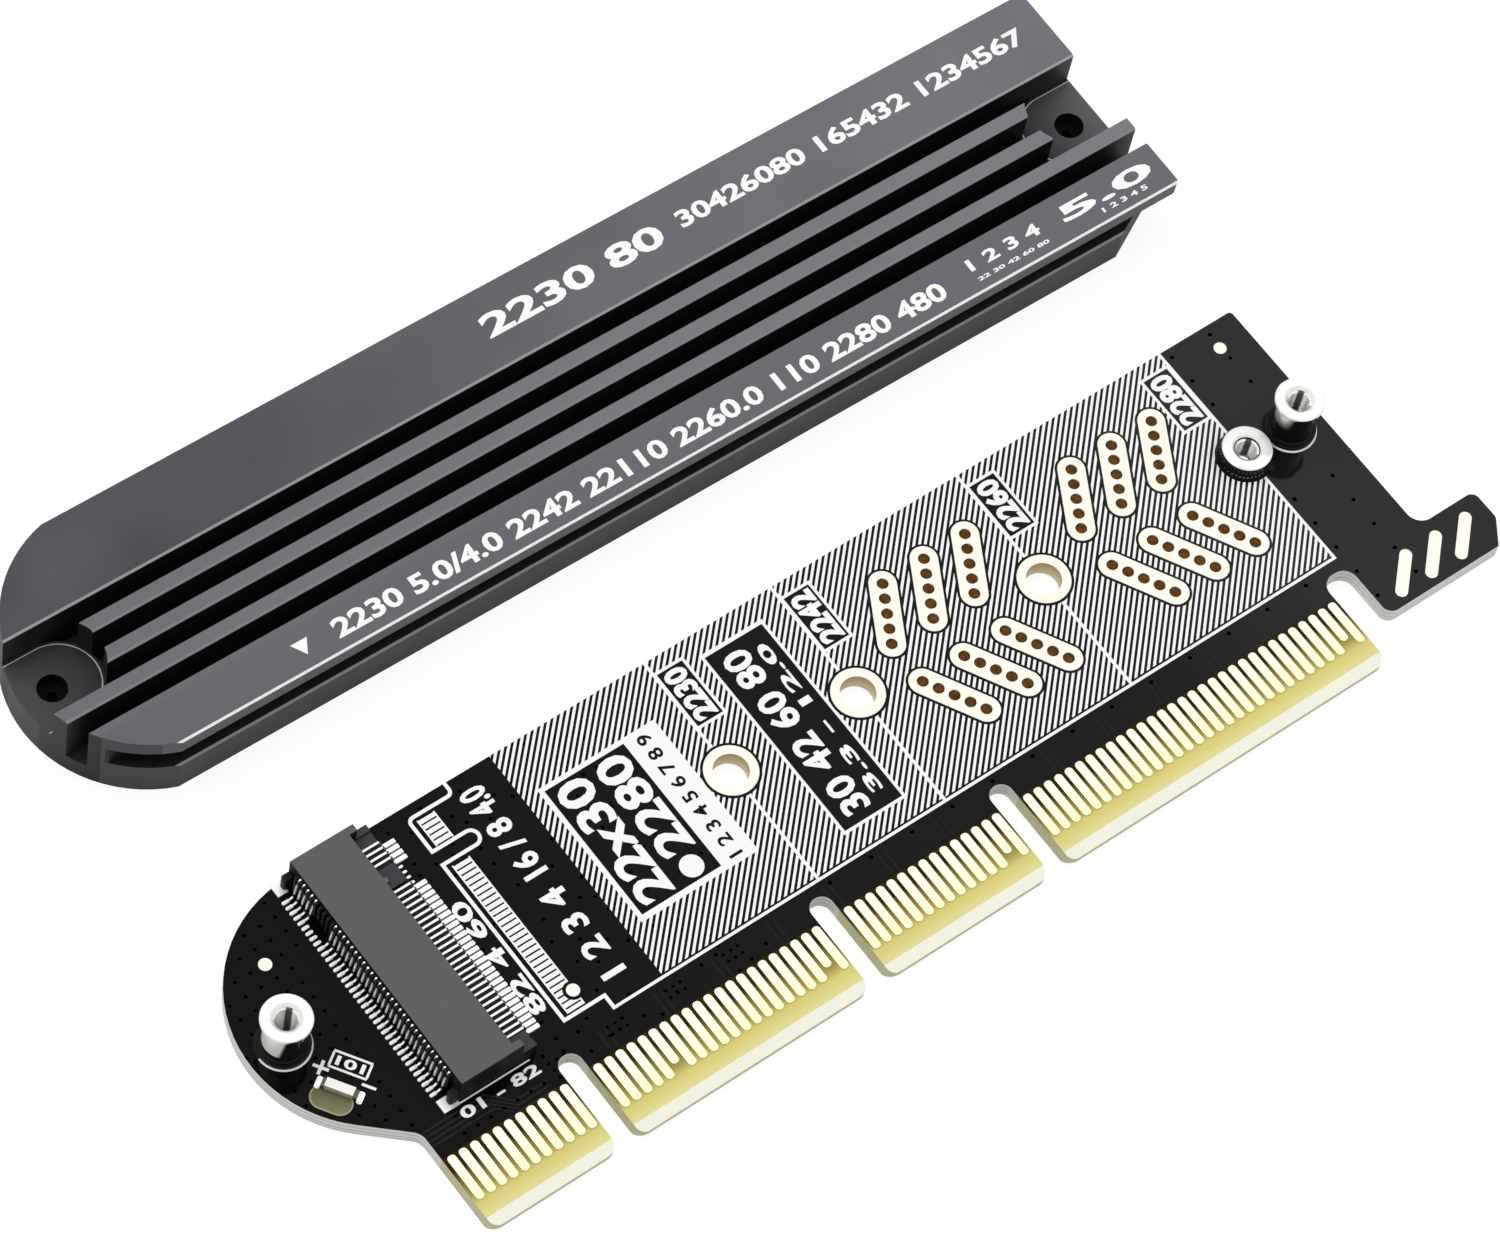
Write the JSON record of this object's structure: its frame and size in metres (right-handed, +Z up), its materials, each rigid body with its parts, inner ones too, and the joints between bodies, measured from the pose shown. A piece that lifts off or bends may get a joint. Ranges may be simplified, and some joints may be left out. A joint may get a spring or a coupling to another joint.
{
  "type": "nvme adapter card",
  "caption": "Slim expansion card with an edge connector, a socket and nuts for a flat storage module, and the long finned heat spreader that screws down over it, laid beside it.",
  "frame": {"origin": "middle of the card and spreader as they lie, on the surface under them", "axes": "+X along the card from its round end to its hook, +Y from the edge contacts towards the spreader, +Z up from the surface"},
  "size_m": [0.1067, 0.0628, 0.0069],
  "materials": {
    "board": "satin solder mask, near black, with white print",
    "gold_plating": "pale gold plating",
    "pale_gold": "pale gold plating",
    "connector_plastic": "matte moulded",
    "lead_plating": "bright tin plating",
    "nickel": "bright nickel plating",
    "light_resin": "clear resin",
    "anodised": "dark grey anodised, fine blasted"
  },
  "bodies": {
    "root": {"back_contacts_1": "gold_plating", "back_contacts_2": "gold_plating", "back_contacts_3": "gold_plating", "back_contacts_4": "gold_plating", "circuit_board": "board", "connector_holder_far": "lead_plating", "connector_holder_near": "lead_plating", "connector_housing": "connector_plastic", "connector_lower_contacts": "lead_plating", "connector_upper_contacts": "lead_plating", "front_contacts_1": "gold_plating", "front_contacts_2": "gold_plating", "front_contacts_3": "gold_plating", "front_contacts_4": "gold_plating", "heat_spreader": "anodised", "heatsink_standoffs": "nickel", "hook_bars": "pale_gold", "light_body": "light_resin", "light_terminals": "lead_plating", "module_screw_nut": "nickel", "screw_hole_1_pad": "pale_gold", "screw_hole_2_pad": "pale_gold", "screw_hole_3_pad": "pale_gold", "targets": "pale_gold", "thermal_pad_01": "pale_gold", "thermal_pad_02": "pale_gold", "thermal_pad_03": "pale_gold", "thermal_pad_04": "pale_gold", "thermal_pad_05": "pale_gold", "thermal_pad_06": "pale_gold", "thermal_pad_07": "pale_gold", "thermal_pad_08": "pale_gold", "thermal_pad_09": "pale_gold", "thermal_pad_10": "pale_gold", "thermal_pad_11": "pale_gold", "thermal_pad_12": "pale_gold"}
  },
  "joints": []
}
